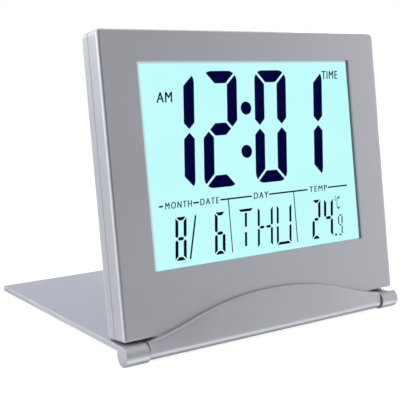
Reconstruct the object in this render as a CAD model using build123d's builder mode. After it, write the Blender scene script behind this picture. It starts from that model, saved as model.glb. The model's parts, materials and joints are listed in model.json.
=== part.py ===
from build123d import *
from math import acos, asin, atan2, cos, degrees, hypot, pi, radians, sin
import os

# Folding alarm clock: a thin case that leans back on its own flip cover.
# All sizes in millimetres. X runs along the hinge, Y to the back, Z up.
# Inside the case, x is measured from its middle, v up the face from the bottom
# edge, and depth backwards from the face.

# Case
case_width = 112.8
case_height = 93.85
case_corner = 1.8
foot_corner = 0.8
face_wall = 1.5
side_wall = 1.5
back_wall = 1.5
seam_depth = 5.9
seam_chamfer = 0.2
front_edge = 0.7
rear_edge = 0.6
lip_height = 1.2
lip_wall = 0.8
lip_root = 1.5

# Window in the face
window_side = 13.0
window_top_border = 9.8
window_bottom = 19.6
window_edge = 0.35

# Raised arch over the hinge
arch_height = 8.35
arch_foot_drop = 0.84
arch_turn = 18.3
arch_foot_turn = 9.41
arch_edge = 0.8

# Hinge and flip cover
barrel_radius = 3.15
barrel_length = 7.6
knuckle_inset = 0.5
knuckle_edge = 0.3
hinge_gap = 1.05
left_end_gap = 0.3
right_end_gap = 0.8
pin_radius = 1.0
pin_in_barrel = 5.0
pin_in_knuckle = 9.0
pin_end_air = 0.3
pin_chamfer = 0.2
lid_thickness = 1.9
lid_side_overhang = 0.7
lid_top_overhang = 1.2
lid_gap = 0.3
lid_edge = 0.3
lid_corner = 1.0
lid_recess = 0.5
lid_rim = 3.0
notch_gap = 0.5
notch_shoulder = 1.2
notch_bevel = 0.5

# Running and seating clearances
running_fit = 0.05
press_fit = 0.02
loose_fit = 0.15
stop_gap = 0.06

# Display stack behind the face wall
tape_thickness = 0.15
tape_width = 2.0
lens_thickness = 0.8
lens_margin = 2.5
lens_corner = 1.0
lens_air = 0.1
polariser_thickness = 0.2
glass_thickness = 0.7
glass_gap = 0.05
stroke_thickness = 0.04
contact_strip = 1.3
glass_ledge = 3.2
guide_thickness = 1.0
guide_air = 0.1
reflector_thickness = 0.15
frame_wall = 1.5
frame_air = 0.1
frame_ledge = 4.0
led_width = 3.0
led_depth = 0.85
zebra_width = 2.0
zebra_inset = 0.4
zebra_end = 4.0

# Time digits and calendar row
digit_slant = 0.083
digit_width = 13.55
digit_stroke = 4.05
digit_gap = 0.8
digit_corner = 3.4
digit_over_rule = 4.05
digit_top_margin = 2.8
digit_space = 3.0
first_digit_space = 3.45
colon_space = 3.7
colon_x = -3.5
colon_low = 11.05
colon_below_top = 12.5
colon_radius = 2.2
row_slant = 0.095
small_height = 13.75
small_width = 4.2
small_stroke = 1.1
small_gap = 0.45
small_corner = 0.8
row_over_window = 1.9
month_left = -34.0
date_left = -18.85
letter_width = 6.5
letter_stroke = 0.9
letter_corner = 0.3
letter_pitch = 8.2
day_left = -9.5
tens_left = 23.0
tens_width = 3.8
units_left = 28.45
units_width = 4.3
tenths_left = 35.25
tenths_height = 7.4
tenths_width = 2.15
tenths_stroke = 0.5
point_x = 34.2
point_size = 0.8
rule_over_window = 19.6
rule_width = 0.35
rule_lead = 1.6
rule_end_margin = 2.0
month_label_left = -36.8
month_label_right = -25.6
date_label_left = -23.3
date_label_right = -15.0
day_label_left = -2.0
day_label_right = 5.2
temperature_label_left = 22.6
temperature_label_right = 32.0
first_divider = -11.75
second_divider = 16.15
divider_over_window = 1.85
slash_left = -28.6
slash_lean = 3.3
slash_width = 0.45

# Circuit board and what is on it
board_thickness = 0.8
board_seat = 0.5
board_side = 8.5
board_top_air = 0.3
board_foot = 2.2
blob_x = 2.0
blob_below_buttons = 14.0
blob_radius = 6.0
blob_height = 1.0
crystal_x = 14.0
crystal_below_buttons = 12.0
crystal_radius = 0.6
crystal_length = 4.7
crystal_edge = 0.2
lead_radius = 0.15
lead_length = 1.6
lead_pitch = 0.7
sensor_radius = 0.6
sensor_leg_reach = 3.0
chip_x = 2.0
chip_v = 27.0
chip_length = 2.0
chip_width = 1.2
chip_height = 0.6
chip_pitch_x = 4.0
chip_pitch_v = 3.5
chip_columns = 3
chip_rows = 3
dome_radius = 2.2
dome_height = 0.25

# Coin cell and its door
cell_radius = 10.0
cell_thickness = 2.5
cell_cap = 0.3
cell_cap_inset = 0.8
cell_edge = 0.2
cell_x = -28.0
cell_v = 34.0
cell_air = 0.1
door_thickness = 1.2
door_edge = 0.25
door_cover = 0.3
door_ledge = 1.0
door_ledge_wall = 1.0
door_lug_reach = 1.2
door_lug_height = 0.7
door_lug_width = 5.0
door_lug_angle = 90.0
door_leg_air = 0.25
door_leg_wall = 0.7
door_turn = 45.0
coin_slot_length = 14.0
coin_slot_width = 1.8
coin_slot_depth = 0.5
contact_thickness = 0.3
contact_width = 5.0
contact_overreach = 1.0
contact_foot = 4.55
contact_tip = 0.7

# Buttons in the back
button_rise = 0.6
button_flange = 0.6
button_flange_lip = 0.8
button_width = 5.0
button_length = 11.0
light_button_length = 30.0
button_row_below_top = 27.0
light_button_below_top = 13.0
button_pitch = 20.0
button_edge = 0.3
nub_radius = 1.2
nub_height = 0.1

# Buzzer
buzzer_radius = 10.0
buzzer_plate_thickness = 0.25
ceramic_radius = 7.0
ceramic_thickness = 0.25
buzzer_x = 28.0
buzzer_v = 34.0
buzzer_hole_radius = 0.75
buzzer_hole_ring = 4.5
buzzer_hole_count = 6
wire_radius = 0.2
wire_bend = 0.35
wire_spacing = 3.0
wire_run = 12.0

# Small slots that let air reach the temperature sensor
vent_length = 6.0
vent_width = 0.9
vent_pitch = 1.9
vent_count = 3
vent_side = 14.0
vent_v = 14.0

# Screws
screw_radius = 1.0
screw_head_radius = 1.8
screw_head_height = 1.0
screw_grip = 3.5
screw_tip_air = 0.3
screw_well = 2.2
screw_recess = 1.3
cross_length = 2.2
cross_width = 0.5
cross_depth = 0.5
boss_radius = 2.1
column_radius = 2.6
column_gap = 0.1
case_boss_side = 4.7
case_boss_inset = 5.0
board_screw_radius = 0.8
board_head_radius = 1.5
board_head_height = 0.7
board_boss_radius = 1.6
board_boss_x = 36.0
board_boss_air_below = 0.6
board_boss_air_above = 0.3

os.makedirs("parts", exist_ok=True)

# Depth of the case: display, board, coin cell and battery door behind one another
board_front = seam_depth + board_seat
board_back = board_front + board_thickness
case_depth = board_front + cell_thickness + cell_air + door_thickness
inner_back = case_depth - back_wall

# Hinge axis, seen from the case and from the table
axis_drop = barrel_radius + hinge_gap
axis_depth = barrel_radius - lid_thickness - lid_gap
knuckle_radius = barrel_radius - knuckle_inset
arch_rise = knuckle_radius - axis_depth
knuckle_half = case_width / 2 + lid_side_overhang - barrel_length - right_end_gap
lid_width = case_width + 2 * lid_side_overhang
lid_length = axis_drop + case_height + lid_top_overhang

# Radii of the arch's crown and foot, so that it ends at the knuckle's ends
crown_run = sin(radians(arch_turn))
crown_fall = 1 - cos(radians(arch_turn))
foot_run = sin(radians(arch_turn)) - sin(radians(arch_foot_turn))
foot_fall = cos(radians(arch_foot_turn)) - cos(radians(arch_turn))
arch_fall = arch_height + arch_foot_drop
arch_share = crown_run * foot_fall - foot_run * crown_fall
arch_crown_radius = (knuckle_half * foot_fall - arch_fall * foot_run) / arch_share
arch_foot_radius = (arch_fall * crown_run - knuckle_half * crown_fall) / arch_share

# The open cover stands on its two barrels and on its far lower edge
foot_s = lid_length - lid_edge
foot_w = barrel_radius - lid_thickness + lid_edge
lid_tilt = asin((barrel_radius - lid_edge) / hypot(foot_s, foot_w)) + atan2(foot_w, foot_s)

# The case leans back until its rear bottom edge meets the open cover
lean_up = axis_drop + rear_edge
lean_back = case_depth - axis_depth - rear_edge
lean_rest = barrel_radius + stop_gap + rear_edge
lean_on_lid = acos(lean_rest / hypot(lean_up, lean_back)) - atan2(lean_back, lean_up)
lean = lean_on_lid + lid_tilt
lid_swing = 270.0 + degrees(lean_on_lid)

# The origin lies on the table, under the middle of the whole clock
lid_reach = (
    (lid_length - lid_edge) * cos(lid_tilt) + (barrel_radius - lid_edge) * sin(lid_tilt) + lid_edge
)
hinge_y = (barrel_radius - lid_reach) / 2
hinge_point = Vector(0, hinge_y, barrel_radius)

up_face = Vector(0, sin(lean), cos(lean))
outward = Vector(0, -cos(lean), sin(lean))
inward = outward * -1
face = Plane(
    origin=hinge_point + up_face * axis_drop + outward * axis_depth,
    x_dir=(1, 0, 0),
    z_dir=outward,
)
outward_axis = Axis(face.origin, outward)

along_lid = Vector(0, cos(lid_tilt), -sin(lid_tilt))
lid_outward = Vector(0, sin(lid_tilt), cos(lid_tilt))
lid_axis_plane = Plane(origin=hinge_point, x_dir=(1, 0, 0), z_dir=lid_outward)

print("hinge axis y, z:", round(hinge_y, 4), barrel_radius)
print("lean of the case, tilt of the cover:", round(degrees(lean), 4), round(degrees(lid_tilt), 4))
print("swing of the cover:", round(lid_swing, 4))

# Depths of the display stack, from the face backwards
tape_front = face_wall
lens_front = tape_front + tape_thickness
front_polariser_front = lens_front + lens_thickness + lens_air
front_glass_front = front_polariser_front + polariser_thickness
gap_front = front_glass_front + glass_thickness
pattern_front = gap_front + (glass_gap - stroke_thickness) / 2
rear_glass_front = gap_front + glass_gap
rear_polariser_front = rear_glass_front + glass_thickness
guide_front = rear_polariser_front + polariser_thickness + guide_air
reflector_front = guide_front + guide_thickness
reflector_back = reflector_front + reflector_thickness

# Outlines shared by the display pieces
window_width = case_width - 2 * window_side
window_top = case_height - window_top_border
lens_width = window_width + 2 * lens_margin
lens_bottom = window_bottom - lens_margin
lens_top = window_top + lens_margin
glass_width = lens_width
glass_bottom = lens_bottom - contact_strip
rear_glass_bottom = glass_bottom + glass_ledge
frame_inner_width = glass_width + 2 * frame_air
frame_inner_top = lens_top + frame_air
frame_inner_bottom = glass_bottom - frame_air
frame_outer_width = frame_inner_width + 2 * frame_wall
frame_outer_top = frame_inner_top + frame_wall
frame_outer_bottom = frame_inner_bottom - frame_wall

# Levels of the display's characters
rule_level = window_bottom + rule_over_window
digit_base = rule_level + digit_over_rule
digit_height = window_top - digit_top_margin - digit_base
small_base = window_bottom + row_over_window
divider_bottom = window_bottom + divider_over_window

# Bosses, the board between them, and the rows of buttons
cavity_width = case_width - 2 * side_wall
case_boss_x = case_width / 2 - case_boss_side
board_boss_low = frame_outer_bottom - board_boss_air_below - board_boss_radius
board_boss_high = frame_outer_top + board_boss_air_above + board_boss_radius
board_bottom = board_boss_low - board_foot
board_top = case_height - side_wall - lip_wall - board_top_air
case_bosses = [
    (side * case_boss_x, height)
    for side in (-1, 1)
    for height in (case_boss_inset, case_height - case_boss_inset)
]
board_bosses = [
    (side * board_boss_x, height)
    for side in (-1, 1)
    for height in (board_boss_low, board_boss_high)
]
button_row = case_height - button_row_below_top
light_button_row = case_height - light_button_below_top
vent_x = case_width / 2 - vent_side

# Battery door round the coin cell
door_leg_inner = cell_radius + door_leg_air
door_opening = door_leg_inner + door_leg_wall + loose_fit
door_lug_radius = door_opening + door_lug_reach
door_radius = door_lug_radius + door_cover
cell_hole_radius = door_lug_radius + loose_fit
contact_foot_end = cell_hole_radius + contact_foot


def level(depth):
    """Plane parallel to the face, at a depth behind it."""
    return face.offset(-depth)


def slab(width, bottom, top, depth, thickness, x=0.0, corner=0.0, foot=0.0, mode=Mode.ADD):
    """Rectangular plate parallel to the face, its upper and lower corners rounded on their own."""
    with BuildSketch(level(depth)) as outline:
        with Locations((x, (bottom + top) / 2)):
            Rectangle(width, top - bottom)
        if corner > 0:
            fillet(outline.vertices().group_by(Axis.Y)[-1], corner)
        if foot > 0:
            fillet(outline.vertices().group_by(Axis.Y)[0], foot)
    extrude(outline.sketch, amount=thickness, dir=inward, mode=mode)


def discs(places, radius, depth, thickness, mode=Mode.ADD):
    """Round plates or holes at each place, growing backwards from a depth."""
    with BuildSketch(level(depth)) as outline:
        with Locations(*places):
            Circle(radius)
    extrude(outline.sketch, amount=thickness, dir=inward, mode=mode)


def oval(length, width, x, v, depth, thickness, mode=Mode.ADD):
    """Slot-shaped plate or hole along X, growing backwards from a depth."""
    with BuildSketch(level(depth)) as outline:
        with Locations((x, v)):
            SlotOverall(length, width)
    extrude(outline.sketch, amount=thickness, dir=inward, mode=mode)


def arch_outline(gap, half_width, base, rise):
    """Crown arc and two reverse arcs, moved outwards by a gap and closed at a base line."""
    crown_radius = arch_crown_radius + gap
    foot_radius = arch_foot_radius - gap
    turn = radians(arch_turn)
    end = asin(sin(turn) - (half_width - crown_radius * sin(turn)) / foot_radius)
    with BuildLine() as outline:
        crown = JernArc((0, rise + arch_height + gap), (1, 0), crown_radius, -arch_turn)
        foot = JernArc(crown @ 1, crown % 1, foot_radius, arch_turn - degrees(end))
        side = Line(foot @ 1, (half_width, base))
        Line(side @ 1, (0, base))
        mirror(about=Plane.YZ)
    return outline.line


def on_window_rim(point):
    """Whether a point of the face's frame lies on the front edges of the window."""
    beside = abs(point.X) <= window_width / 2 + press_fit
    level_with = window_bottom - press_fit <= point.Y <= window_top + press_fit
    return beside and level_with and abs(point.Z) < press_fit


def hinge_plane(x):
    """Plane across the hinge axis at x, facing +X."""
    return Plane(origin=hinge_point + Vector(x, 0, 0), x_dir=along_lid, z_dir=(1, 0, 0))


def write(builder, name):
    """Label a finished piece and write it under its own name."""
    builder.part.label = name
    export_step(builder.part, f"parts/{name}.step")


# Front bezel: face, window, raised arch and centre knuckle
with BuildPart() as front_bezel:
    slab(case_width, 0, case_height, 0, seam_depth, corner=case_corner, foot=foot_corner)
    fillet(front_bezel.faces().sort_by(outward_axis)[-1].edges(), front_edge)
    chamfer(front_bezel.faces().sort_by(outward_axis)[0].edges(), seam_chamfer)
    slab(
        cavity_width, side_wall, case_height - side_wall,
        face_wall, seam_depth - face_wall, mode=Mode.SUBTRACT,
    )
    with BuildSketch(face.offset(arch_rise)):
        add(arch_outline(0, knuckle_half, -axis_drop, 0))
        make_face()
    extrude(amount=-(arch_rise + face_wall))
    arch_face = front_bezel.faces().sort_by(outward_axis)[-1]
    fillet(arch_face.edges().filter_by(GeomType.CIRCLE), arch_edge)
    with BuildSketch(hinge_plane(-knuckle_half)):
        Circle(knuckle_radius)
    extrude(amount=2 * knuckle_half)
    knuckle_ends = front_bezel.faces().filter_by(Axis.X).filter_by(
        lambda end: abs(abs(end.center().X) - knuckle_half) < knuckle_edge
    )
    fillet(knuckle_ends.edges().filter_by(GeomType.CIRCLE), knuckle_edge)
    for side in (-1, 1):
        with BuildSketch(hinge_plane(side * knuckle_half)):
            Circle(pin_radius + press_fit)
        extrude(amount=-side * pin_in_knuckle, mode=Mode.SUBTRACT)
    slab(
        window_width, window_bottom, window_top,
        0, face_wall, mode=Mode.SUBTRACT,
    )
    window_rim = front_bezel.edges().filter_by(
        lambda edge: on_window_rim(face.to_local_coords(edge.center()))
    )
    fillet(window_rim, window_edge)
    discs(case_bosses, boss_radius, face_wall, board_front - face_wall)
    discs(
        case_bosses, screw_radius + press_fit,
        board_front - screw_grip, screw_grip, Mode.SUBTRACT,
    )
    discs(board_bosses, board_boss_radius, face_wall, board_front - face_wall)
    discs(
        board_bosses, board_screw_radius + press_fit,
        board_front - screw_grip, screw_grip, Mode.SUBTRACT,
    )
write(front_bezel, "front_bezel")

# Rear case: back wall, sides, locating lip, screw wells, cell well and button holes
door_recess_radius = door_radius + loose_fit
ledge_outer = door_radius + door_ledge_wall
ledge_front = case_depth - door_thickness - door_ledge
cell_place = [(cell_x, cell_v)]
small_buttons = {
    "mode_button": -1.5 * button_pitch,
    "set_button": -0.5 * button_pitch,
    "up_button": 0.5 * button_pitch,
    "down_button": 1.5 * button_pitch,
}
buttons = [(name, x, button_row, button_length) for name, x in small_buttons.items()]
buttons.append(("light_button", 0.0, light_button_row, light_button_length))
buzzer_holes = [
    (
        buzzer_x + buzzer_hole_ring * cos(2 * pi * index / buzzer_hole_count),
        buzzer_v + buzzer_hole_ring * sin(2 * pi * index / buzzer_hole_count),
    )
    for index in range(buzzer_hole_count)
]
screw_seat = case_depth - screw_recess


def ring_pair(inner, outer, width, turn, depth, thickness, mode=Mode.ADD):
    """Two opposite pieces of a ring about the cell's axis, cut out by a strip."""
    with BuildSketch(level(depth)) as outline:
        with Locations(*cell_place):
            Circle(outer)
            Circle(inner, mode=Mode.SUBTRACT)
            Rectangle(2 * outer, width, rotation=turn, mode=Mode.INTERSECT)
    extrude(outline.sketch, amount=thickness, dir=inward, mode=mode)


with BuildPart() as rear_case:
    slab(
        case_width, 0, case_height, seam_depth, case_depth - seam_depth,
        corner=case_corner, foot=foot_corner,
    )
    fillet(rear_case.faces().sort_by(outward_axis)[0].edges(), rear_edge)
    chamfer(rear_case.faces().sort_by(outward_axis)[-1].edges(), seam_chamfer)
    slab(
        cavity_width, side_wall, case_height - side_wall,
        seam_depth + lip_root, inner_back - seam_depth - lip_root, mode=Mode.SUBTRACT,
    )
    slab(
        cavity_width - 2 * running_fit, side_wall + running_fit, case_height - side_wall - running_fit,
        seam_depth - lip_height, lip_height,
    )
    slab(
        cavity_width - 2 * lip_wall, side_wall + lip_wall, case_height - side_wall - lip_wall,
        seam_depth - lip_height, lip_height + lip_root, mode=Mode.SUBTRACT,
    )
    discs(
        board_bosses, board_boss_radius + loose_fit,
        seam_depth - lip_height, lip_height + lip_root, Mode.SUBTRACT,
    )
    discs(case_bosses, column_radius, board_front + column_gap, inner_back - board_front - column_gap)
    discs(case_bosses, screw_radius + loose_fit, board_front, case_depth - board_front, Mode.SUBTRACT)
    discs(case_bosses, screw_well, screw_seat, screw_recess, Mode.SUBTRACT)
    discs(cell_place, ledge_outer, ledge_front, inner_back - ledge_front)
    discs(cell_place, door_opening, ledge_front, case_depth - ledge_front, Mode.SUBTRACT)
    discs(cell_place, door_recess_radius, case_depth - door_thickness, door_thickness, Mode.SUBTRACT)
    ring_pair(
        door_opening - running_fit, door_lug_radius + loose_fit, door_lug_width + 4 * loose_fit,
        door_lug_angle - door_turn, ledge_front, door_ledge + running_fit, Mode.SUBTRACT,
    )
    for name, x, v, length in buttons:
        oval(
            length + 2 * loose_fit, button_width + 2 * loose_fit, x, v,
            inner_back, back_wall, Mode.SUBTRACT,
        )
    discs(buzzer_holes + [(buzzer_x, buzzer_v)], buzzer_hole_radius, inner_back, back_wall, Mode.SUBTRACT)
    for index in range(vent_count):
        vent_level = vent_v + (index - (vent_count - 1) / 2) * vent_pitch
        oval(vent_length, vent_width, vent_x, vent_level, inner_back, back_wall, Mode.SUBTRACT)
write(rear_case, "rear_case")

# Flip cover: plate with an arch-shaped notch, and the two outer hinge barrels
notch_half = knuckle_half + right_end_gap
inner_side = barrel_radius - lid_thickness
barrel_sides = [(-1, knuckle_half + left_end_gap), (1, knuckle_half + right_end_gap)]

with BuildPart() as lid_barrels:
    for side, barrel_inner in barrel_sides:
        with BuildSketch(hinge_plane(side * barrel_inner)):
            Circle(barrel_radius)
        extrude(amount=side * (lid_width / 2 - barrel_inner))
    ends = lid_barrels.faces().filter_by(Axis.X).sort_by(Axis.X)
    fillet(ends[0].edges() + ends[-1].edges(), lid_edge)

with BuildPart() as lid:
    with BuildSketch(lid_axis_plane.offset(inner_side)):
        with Locations((0, lid_length / 2)):
            Rectangle(lid_width, lid_length)
    extrude(amount=lid_thickness)
    lid_along_axis = Axis(hinge_point, along_lid)
    lid_out_axis = Axis(hinge_point, lid_outward)
    far_corners = lid.edges().filter_by(lid_out_axis).group_by(lid_along_axis)[-1]
    fillet(far_corners, lid_corner)
    rims = lid.faces().filter_by(lid_out_axis).edges()
    fillet(rims - rims.group_by(lid_along_axis)[0], lid_edge)
    with BuildSketch(lid_axis_plane.offset(inner_side)):
        add(arch_outline(notch_gap, notch_half, 0, axis_drop))
        make_face()
        with Locations((0, (axis_drop + notch_shoulder) / 2)):
            Rectangle(2 * notch_half, axis_drop + notch_shoulder)
    extrude(amount=lid_thickness, mode=Mode.SUBTRACT)
    notch_arcs = lid.edges().filter_by(GeomType.CIRCLE).filter_by(
        lambda edge: edge.radius > arch_foot_radius / 2
    )
    chamfer(notch_arcs.group_by(lid_out_axis)[0], notch_bevel)
    recess_bottom = axis_drop + arch_height + notch_gap + lid_rim
    with BuildSketch(lid_axis_plane.offset(inner_side)):
        with Locations((0, (recess_bottom + lid_length - lid_rim) / 2)):
            RectangleRounded(
                lid_width - 2 * lid_rim, lid_length - lid_rim - recess_bottom, lid_corner,
            )
    extrude(amount=lid_recess, mode=Mode.SUBTRACT)
    add(lid_barrels.part)
    for side, barrel_inner in barrel_sides:
        with BuildSketch(hinge_plane(side * barrel_inner)):
            Circle(pin_radius + running_fit)
        extrude(amount=side * (pin_in_barrel + pin_end_air), mode=Mode.SUBTRACT)
write(lid, "lid")

# Hinge pins: tight in the centre knuckle, turning in the barrels
pins = [("hinge_pin_left", -1, left_end_gap), ("hinge_pin_right", 1, right_end_gap)]
for name, side, end_gap in pins:
    with BuildPart() as hinge_pin:
        with BuildSketch(hinge_plane(side * (knuckle_half - pin_in_knuckle + pin_end_air))):
            Circle(pin_radius)
        extrude(amount=side * (pin_in_knuckle - pin_end_air + end_gap + pin_in_barrel))
        chamfer(hinge_pin.faces().filter_by(Axis.X).edges(), pin_chamfer)
    write(hinge_pin, name)

# Display lens and the tape frame that holds it behind the face wall
with BuildPart() as lens_tape:
    slab(lens_width, lens_bottom, lens_top, tape_front, tape_thickness)
    slab(
        lens_width - 2 * tape_width, lens_bottom + tape_width, lens_top - tape_width,
        tape_front, tape_thickness, mode=Mode.SUBTRACT,
    )
write(lens_tape, "lens_tape")

with BuildPart() as display_lens:
    slab(
        lens_width, lens_bottom, lens_top, lens_front, lens_thickness,
        corner=lens_corner, foot=lens_corner,
    )
write(display_lens, "display_lens")

# Liquid-crystal sandwich: polariser, front glass, pattern, rear glass, polariser
with BuildPart() as front_polariser:
    slab(lens_width, rear_glass_bottom, lens_top, front_polariser_front, polariser_thickness)
write(front_polariser, "front_polariser")

with BuildPart() as lcd_front_glass:
    slab(glass_width, glass_bottom, lens_top, front_glass_front, glass_thickness)
write(lcd_front_glass, "lcd_front_glass")

with BuildPart() as lcd_rear_glass:
    slab(glass_width, rear_glass_bottom, lens_top, rear_glass_front, glass_thickness)
write(lcd_rear_glass, "lcd_rear_glass")

with BuildPart() as rear_polariser:
    slab(glass_width, rear_glass_bottom, lens_top, rear_polariser_front, polariser_thickness)
write(rear_polariser, "rear_polariser")


def slanted(x, v, left, base, slant):
    """A point of a character's upright box, leaned to the right about its base."""
    return (left + x + v * slant, base + v)


def stroke_shapes(width, height, stroke, gap):
    """The strokes of one character: seven main ones, two on its middle line, two half bars."""
    cut = gap / 2**0.5
    middle = height / 2
    half = stroke / 2
    centre = width / 2
    top = [(cut, height), (width - cut, height), (width - stroke - cut, height - stroke),
           (stroke + cut, height - stroke)]
    left_upper = [(0, height - cut), (stroke, height - stroke - cut), (stroke, middle + half + cut),
                  (half, middle + cut), (0, middle + half + cut)]
    bar = [(half + cut, middle), (stroke + cut, middle + half), (width - stroke - cut, middle + half),
           (width - half - cut, middle), (width - stroke - cut, middle - half),
           (stroke + cut, middle - half)]
    half_bar = [(half + cut, middle), (stroke + cut, middle + half),
                (centre - cut - half, middle + half), (centre - cut, middle),
                (centre - cut - half, middle - half), (stroke + cut, middle - half)]
    spine = [(centre - half, height - stroke - gap), (centre + half, height - stroke - gap),
             (centre + half, middle + half + gap), (centre - half, middle + half + gap)]

    def flipped(points):
        return [(x, height - v) for x, v in points]

    def mirrored(points):
        return [(width - x, v) for x, v in points]

    return {
        "a": top,
        "b": mirrored(left_upper),
        "c": flipped(mirrored(left_upper)),
        "d": flipped(top),
        "e": flipped(left_upper),
        "f": left_upper,
        "g": bar,
        "i": spine,
        "j": flipped(spine),
        "k": half_bar,
        "l": mirrored(half_bar),
    }


strokes_of = {
    "0": "abcdef", "1": "bc", "2": "abged", "4": "fgbc", "6": "afgecd", "8": "abcdefg",
    "9": "abcdfg", "T": "aij", "H": "feklbc", "U": "fedcb",
}


def character(sign, left, base, width, height, stroke, gap, corner, slant):
    """One driven character as a sketch, its strokes trimmed to a box with round corners."""
    box = [(0, 0), (width, 0), (width, height), (0, height)]
    with BuildSketch() as rounded_box:
        Polygon(*[slanted(x, v, left, base, slant) for x, v in box], align=None)
        fillet(rounded_box.vertices(), corner)
    with BuildSketch() as sign_sketch:
        shapes = stroke_shapes(width, height, stroke, gap)
        for name in strokes_of[sign]:
            Polygon(*[slanted(x, v, left, base, slant) for x, v in shapes[name]], align=None)
        add(rounded_box.sketch, mode=Mode.INTERSECT)
    return sign_sketch.sketch


# Time pattern: four digits and the colon
two_left = colon_x - colon_space - digit_width
zero_left = colon_x + colon_space
time_digits = [
    ("1", two_left - first_digit_space - digit_width),
    ("2", two_left),
    ("0", zero_left),
    ("1", zero_left + digit_width + digit_space),
]
with BuildPart() as lcd_time_pattern:
    with BuildSketch(level(pattern_front)):
        for sign, left in time_digits:
            add(character(
                sign, left, digit_base, digit_width, digit_height,
                digit_stroke, digit_gap, digit_corner, digit_slant,
            ))
        for height in (colon_low, digit_height - colon_below_top):
            with Locations(slanted(colon_x, height, 0, digit_base, digit_slant)):
                Circle(colon_radius)
    extrude(amount=-stroke_thickness)
write(lcd_time_pattern, "lcd_time_pattern")

# Calendar row: month, date, three letters of the day, temperature
row_signs = [
    ("8", month_left, small_width, small_height, small_stroke, small_corner),
    ("6", date_left, small_width, small_height, small_stroke, small_corner),
    ("T", day_left, letter_width, small_height, letter_stroke, letter_corner),
    ("H", day_left + letter_pitch, letter_width, small_height, letter_stroke, letter_corner),
    ("U", day_left + 2 * letter_pitch, letter_width, small_height, letter_stroke, letter_corner),
    ("2", tens_left, tens_width, small_height, small_stroke, letter_corner),
    ("4", units_left, units_width, small_height, small_stroke, letter_corner),
    ("9", tenths_left, tenths_width, tenths_height, tenths_stroke, letter_corner),
]
with BuildPart() as lcd_calendar_pattern:
    with BuildSketch(level(pattern_front)):
        for sign, left, width, height, stroke, corner in row_signs:
            add(character(
                sign, left, small_base, width, height, stroke, small_gap, corner, row_slant,
            ))
        with Locations((point_x, small_base + point_size / 2)):
            Rectangle(point_size, point_size)
    extrude(amount=-stroke_thickness)
write(lcd_calendar_pattern, "lcd_calendar_pattern")

# Thin lines: the rule over the calendar row with its gaps, two dividers and the slash
rule_spans = [
    (month_label_left - rule_lead, month_label_left),
    (month_label_right, date_label_left),
    (date_label_right, day_label_left),
    (day_label_right, temperature_label_left),
    (temperature_label_right, window_width / 2 - rule_end_margin),
]
with BuildPart() as lcd_rule_lines:
    with BuildSketch(level(pattern_front)):
        for start, end in rule_spans:
            with Locations(((start + end) / 2, rule_level)):
                Rectangle(end - start, rule_width)
        for x in (first_divider, second_divider):
            with Locations((x, (rule_level + divider_bottom) / 2)):
                Rectangle(rule_width, rule_level - divider_bottom)
        slash_foot = (slash_left, small_base)
        slash_head = (slash_left + slash_lean, small_base + small_height)
        Polygon(
            slash_foot, (slash_foot[0] + slash_width, slash_foot[1]),
            (slash_head[0] + slash_width, slash_head[1]), slash_head, align=None,
        )
    extrude(amount=-stroke_thickness)
write(lcd_rule_lines, "lcd_rule_lines")

# Backlight: light guide, the two lamps at its sides and the white film behind it
guide_half = glass_width / 2 - led_depth - frame_air
guide_middle = (rear_glass_bottom + lens_top) / 2
with BuildPart() as light_guide:
    slab(2 * guide_half, rear_glass_bottom, lens_top, guide_front, guide_thickness)
write(light_guide, "light_guide")

with BuildPart() as reflector_film:
    slab(2 * guide_half, rear_glass_bottom, lens_top, reflector_front, reflector_thickness)
write(reflector_film, "reflector_film")

with BuildPart() as backlight_leds:
    for side in (-1, 1):
        slab(
            led_depth, guide_middle - led_width / 2, guide_middle + led_width / 2,
            guide_front, guide_thickness, x=side * (guide_half + frame_air / 2 + led_depth / 2),
        )
write(backlight_leds, "backlight_leds")

# Display frame: white holder round the glass, with a ledge behind the reflector
zebra_bottom = glass_bottom + zebra_inset
zebra_length = glass_width - 2 * zebra_end
ledge_depth = reflector_back + frame_air / 2
frame_front = front_polariser_front
with BuildPart() as display_frame:
    slab(
        frame_outer_width, frame_outer_bottom, frame_outer_top,
        frame_front, board_front - frame_front,
    )
    slab(
        frame_inner_width, frame_inner_bottom, frame_inner_top,
        frame_front, ledge_depth - frame_front, mode=Mode.SUBTRACT,
    )
    slab(
        frame_inner_width - 2 * frame_ledge, frame_inner_bottom + frame_ledge,
        frame_inner_top - frame_ledge, ledge_depth, board_front - ledge_depth, mode=Mode.SUBTRACT,
    )
    slab(
        zebra_length + 2 * frame_air, zebra_bottom - frame_air, zebra_bottom + zebra_width + frame_air,
        ledge_depth, board_front - ledge_depth, mode=Mode.SUBTRACT,
    )
write(display_frame, "display_frame")

# Rubber connector from the front glass's contact strip to the board
with BuildPart() as zebra_strip:
    slab(
        zebra_length, zebra_bottom, zebra_bottom + zebra_width,
        gap_front, board_front - gap_front,
    )
write(zebra_strip, "zebra_strip")

# Circuit board with a round hole for the coin cell
with BuildPart() as circuit_board:
    slab(case_width - 2 * board_side, board_bottom, board_top, board_front, board_thickness)
    discs(cell_place, cell_hole_radius, board_front, board_thickness, Mode.SUBTRACT)
    discs(
        board_bosses, board_screw_radius + loose_fit, board_front, board_thickness, Mode.SUBTRACT,
    )
write(circuit_board, "circuit_board")

# Resin blob over the clock chip: a low dome
blob_plane = Plane(
    origin=level(board_back).from_local_coords((blob_x, button_row - blob_below_buttons, 0)),
    x_dir=(1, 0, 0), z_dir=inward,
)
blob_sphere = (blob_radius**2 + blob_height**2) / (2 * blob_height)
with BuildPart() as chip_blob:
    with Locations(blob_plane.offset(blob_height - blob_sphere)):
        Sphere(blob_sphere)
    split(bisect_by=blob_plane, keep=Keep.TOP)
write(chip_blob, "chip_blob")

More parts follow.
